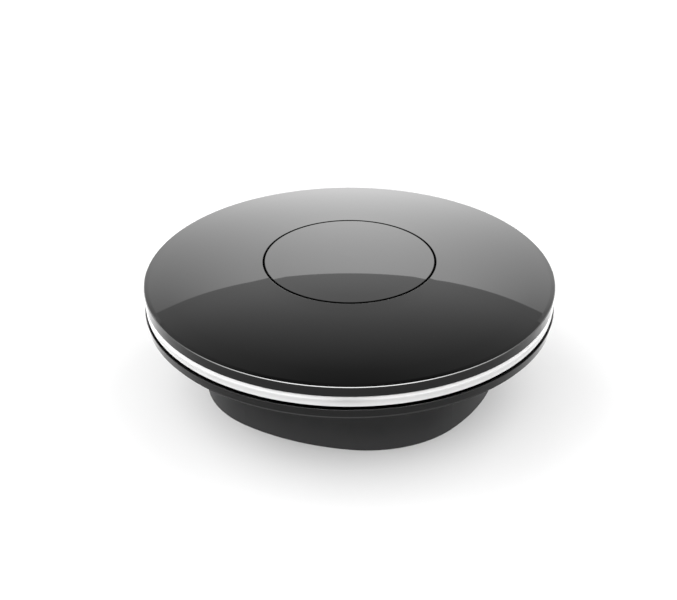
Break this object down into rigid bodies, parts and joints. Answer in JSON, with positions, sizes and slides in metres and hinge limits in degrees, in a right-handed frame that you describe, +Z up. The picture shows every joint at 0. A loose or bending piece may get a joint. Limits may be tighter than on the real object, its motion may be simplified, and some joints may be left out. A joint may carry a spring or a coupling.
{
  "type": "infrared control module",
  "caption": "Domed round smart-home infrared transmitter with a flush centre button, a translucent light ring and a rounded-square base.",
  "frame": {"origin": "on the disc's vertical axis, at the height of the table the foot pad stands on", "axes": "+Z up along the disc's axis; +Y towards the rear, where the supply socket is; +X to the right seen from the front"},
  "size_m": [0.11, 0.11, 0.0375],
  "materials": {
    "cover_gloss": "high gloss, black",
    "button_gloss": "high gloss, black",
    "shell_black": "semi-gloss, black",
    "ring_milky": "translucent, milky",
    "white_plastic": "matt",
    "black_plastic": "matt",
    "rubber_black": "matt, fine grain",
    "screw_steel": "zinc plated",
    "spring_steel": "drawn wire",
    "board_green": "solder mask on glass fibre",
    "module_board": "solder mask on glass fibre",
    "can_metal": "tinned sheet",
    "epoxy_black": "moulded epoxy",
    "lead_tin": "tinned",
    "ir_lens": "tinted epoxy lens",
    "receiver_epoxy": "dark epoxy lens",
    "led_white": "white package, yellow phosphor",
    "switch_frame": "stamped",
    "passive_dark": "resistor glaze with tinned ends",
    "passive_tan": "ceramic with tinned ends",
    "can_alu": "drawn can",
    "ferrite": "ferrite",
    "contact_gold": "gold flash"
  },
  "bodies": {
    "case": {"top_cover": "cover_gloss", "button_carrier": "black_plastic", "button_springs": "spring_steel", "carrier_screws": "screw_steel", "light_ring": "ring_milky", "ring_reflector": "white_plastic", "lower_shell": "shell_black", "bottom_plate": "black_plastic", "foot_pad": "rubber_black", "base_screws": "screw_steel", "case_screws": "screw_steel", "main_board": "board_green", "board_screws": "screw_steel", "wifi_module": "module_board", "wifi_shield": "can_metal", "controller_chip": "epoxy_black", "chip_leads": "lead_tin", "crystal": "can_metal", "driver_transistors": "epoxy_black", "resistors": "passive_dark", "capacitors": "passive_tan", "ir_leds": "ir_lens", "ir_led_leads": "lead_tin", "ir_receiver": "receiver_epoxy", "ir_receiver_leads": "lead_tin", "ring_leds": "led_white", "tact_switch_body": "black_plastic", "tact_switch_frame": "switch_frame", "power_board": "board_green", "power_board_screws": "screw_steel", "bulk_capacitors": "can_alu", "inductor": "ferrite", "regulator": "epoxy_black", "regulator_leads": "lead_tin", "power_parts": "passive_tan", "usb_socket_shell": "can_metal", "usb_socket_tongue": "epoxy_black", "usb_contacts": "contact_gold", "header_pins": "contact_gold", "header_body": "black_plastic", "header_socket": "black_plastic"},
    "button": {"button_cap": "button_gloss"},
    "plunger": {"switch_plunger": "black_plastic"}
  },
  "joints": [
    {"name": "button_press", "type": "slide", "parent": "case", "child": "button", "axis": [0, 0, 1], "range_m": [-0.0005, 0], "stiffness_N_per_m": 1500, "springref_m": 0.0005, "deforming": ["button_springs"]},
    {"name": "plunger_travel", "type": "slide", "parent": "case", "child": "plunger", "axis": [0, 0, 1], "range_m": [-0.0005, 0]}
  ],
  "couplings": [
    {"joint": "plunger_travel", "follows": "button_press", "ratio": 1}
  ]
}
